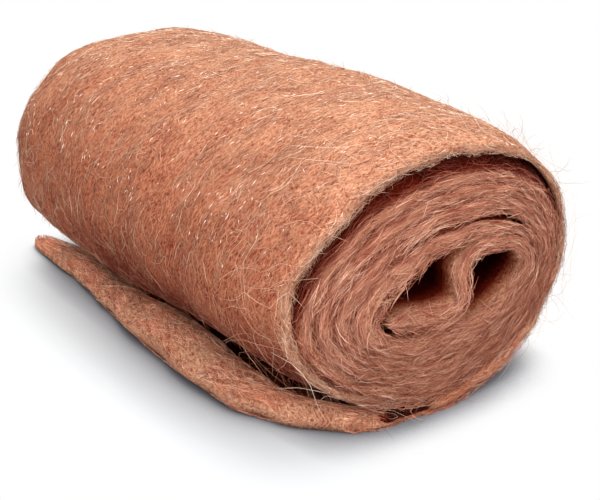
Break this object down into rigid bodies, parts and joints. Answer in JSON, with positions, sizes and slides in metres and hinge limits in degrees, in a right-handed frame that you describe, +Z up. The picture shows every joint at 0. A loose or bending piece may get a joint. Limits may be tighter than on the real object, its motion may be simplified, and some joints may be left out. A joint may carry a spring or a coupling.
{
  "type": "copper wool roll",
  "caption": "Loosely wound roll of matted fine copper wool lying on its side, its inner end folded over in the hollow and its loose end under it.",
  "frame": {"origin": "centre of the roll's footprint on the surface that it lies on", "axes": "+Y along the roll's axis, away from the open end that shows the turns; +Z up; the loose end of the strip comes out on the -X side"},
  "size_m": [0.0746, 0.1098, 0.055],
  "materials": {
    "copper_wool": "fine matted metal fibres"
  },
  "bodies": {
    "root": {"copper_wool_roll": "copper_wool"}
  },
  "joints": []
}
